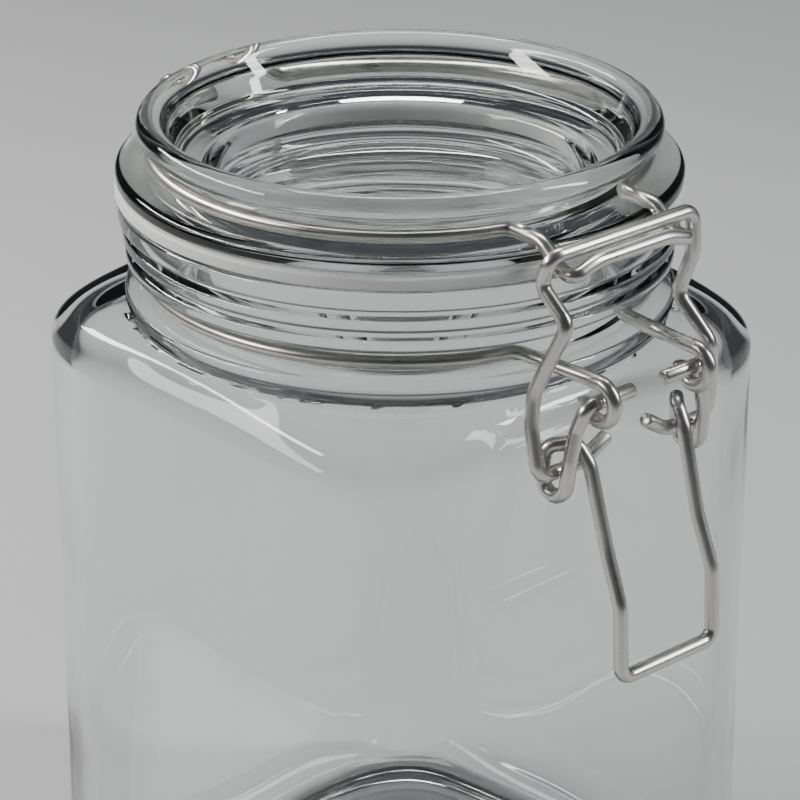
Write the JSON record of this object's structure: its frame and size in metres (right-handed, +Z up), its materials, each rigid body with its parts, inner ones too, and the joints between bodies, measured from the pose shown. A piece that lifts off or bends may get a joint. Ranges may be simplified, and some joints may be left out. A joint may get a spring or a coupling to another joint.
{
  "type": "clip-top glass canister",
  "caption": "Clear glass canister with a square rounded body, round ringed neck, hinged glass lid, pale gasket and a bent-wire clip closure.",
  "frame": {"origin": "centre of the jar's flat underside, on the jar's upright axis", "axes": "+Z up along the jar's axis, -Y towards the wire clasp, +Y towards the rear hinge, +X completes a right-handed frame"},
  "size_m": [0.1112, 0.138, 0.1809],
  "materials": {
    "glass": "clear, fire-polished",
    "silicone": "translucent white, matt",
    "wire": "satin drawn wire"
  },
  "bodies": {
    "jar_body": {"jar": "glass", "neck_wire": "wire"},
    "lid_body": {"lid": "glass", "gasket": "silicone", "lid_wire": "wire"},
    "lever_body": {"lever": "wire"},
    "bail_body": {"bail": "wire"}
  },
  "joints": [
    {"name": "lid_hinge", "type": "hinge", "parent": "jar_body", "child": "lid_body", "pos_m": [0, 0.0586, 0.1655], "axis": [-1, 0, 0], "range_deg": [0, 110]},
    {"name": "lever_pivot", "type": "hinge", "parent": "jar_body", "child": "lever_body", "pos_m": [0, -0.0665, 0.1456], "axis": [-1, 0, 0], "range_deg": [0, 105]},
    {"name": "bail_pivot", "type": "hinge", "parent": "lever_body", "child": "bail_body", "pos_m": [0, -0.0609, 0.1316], "axis": [-1, 0, 0], "range_deg": [-153, 0]}
  ],
  "couplings": [
    {"joint": "bail_pivot", "follows": "lever_pivot", "ratio": -1.45}
  ]
}
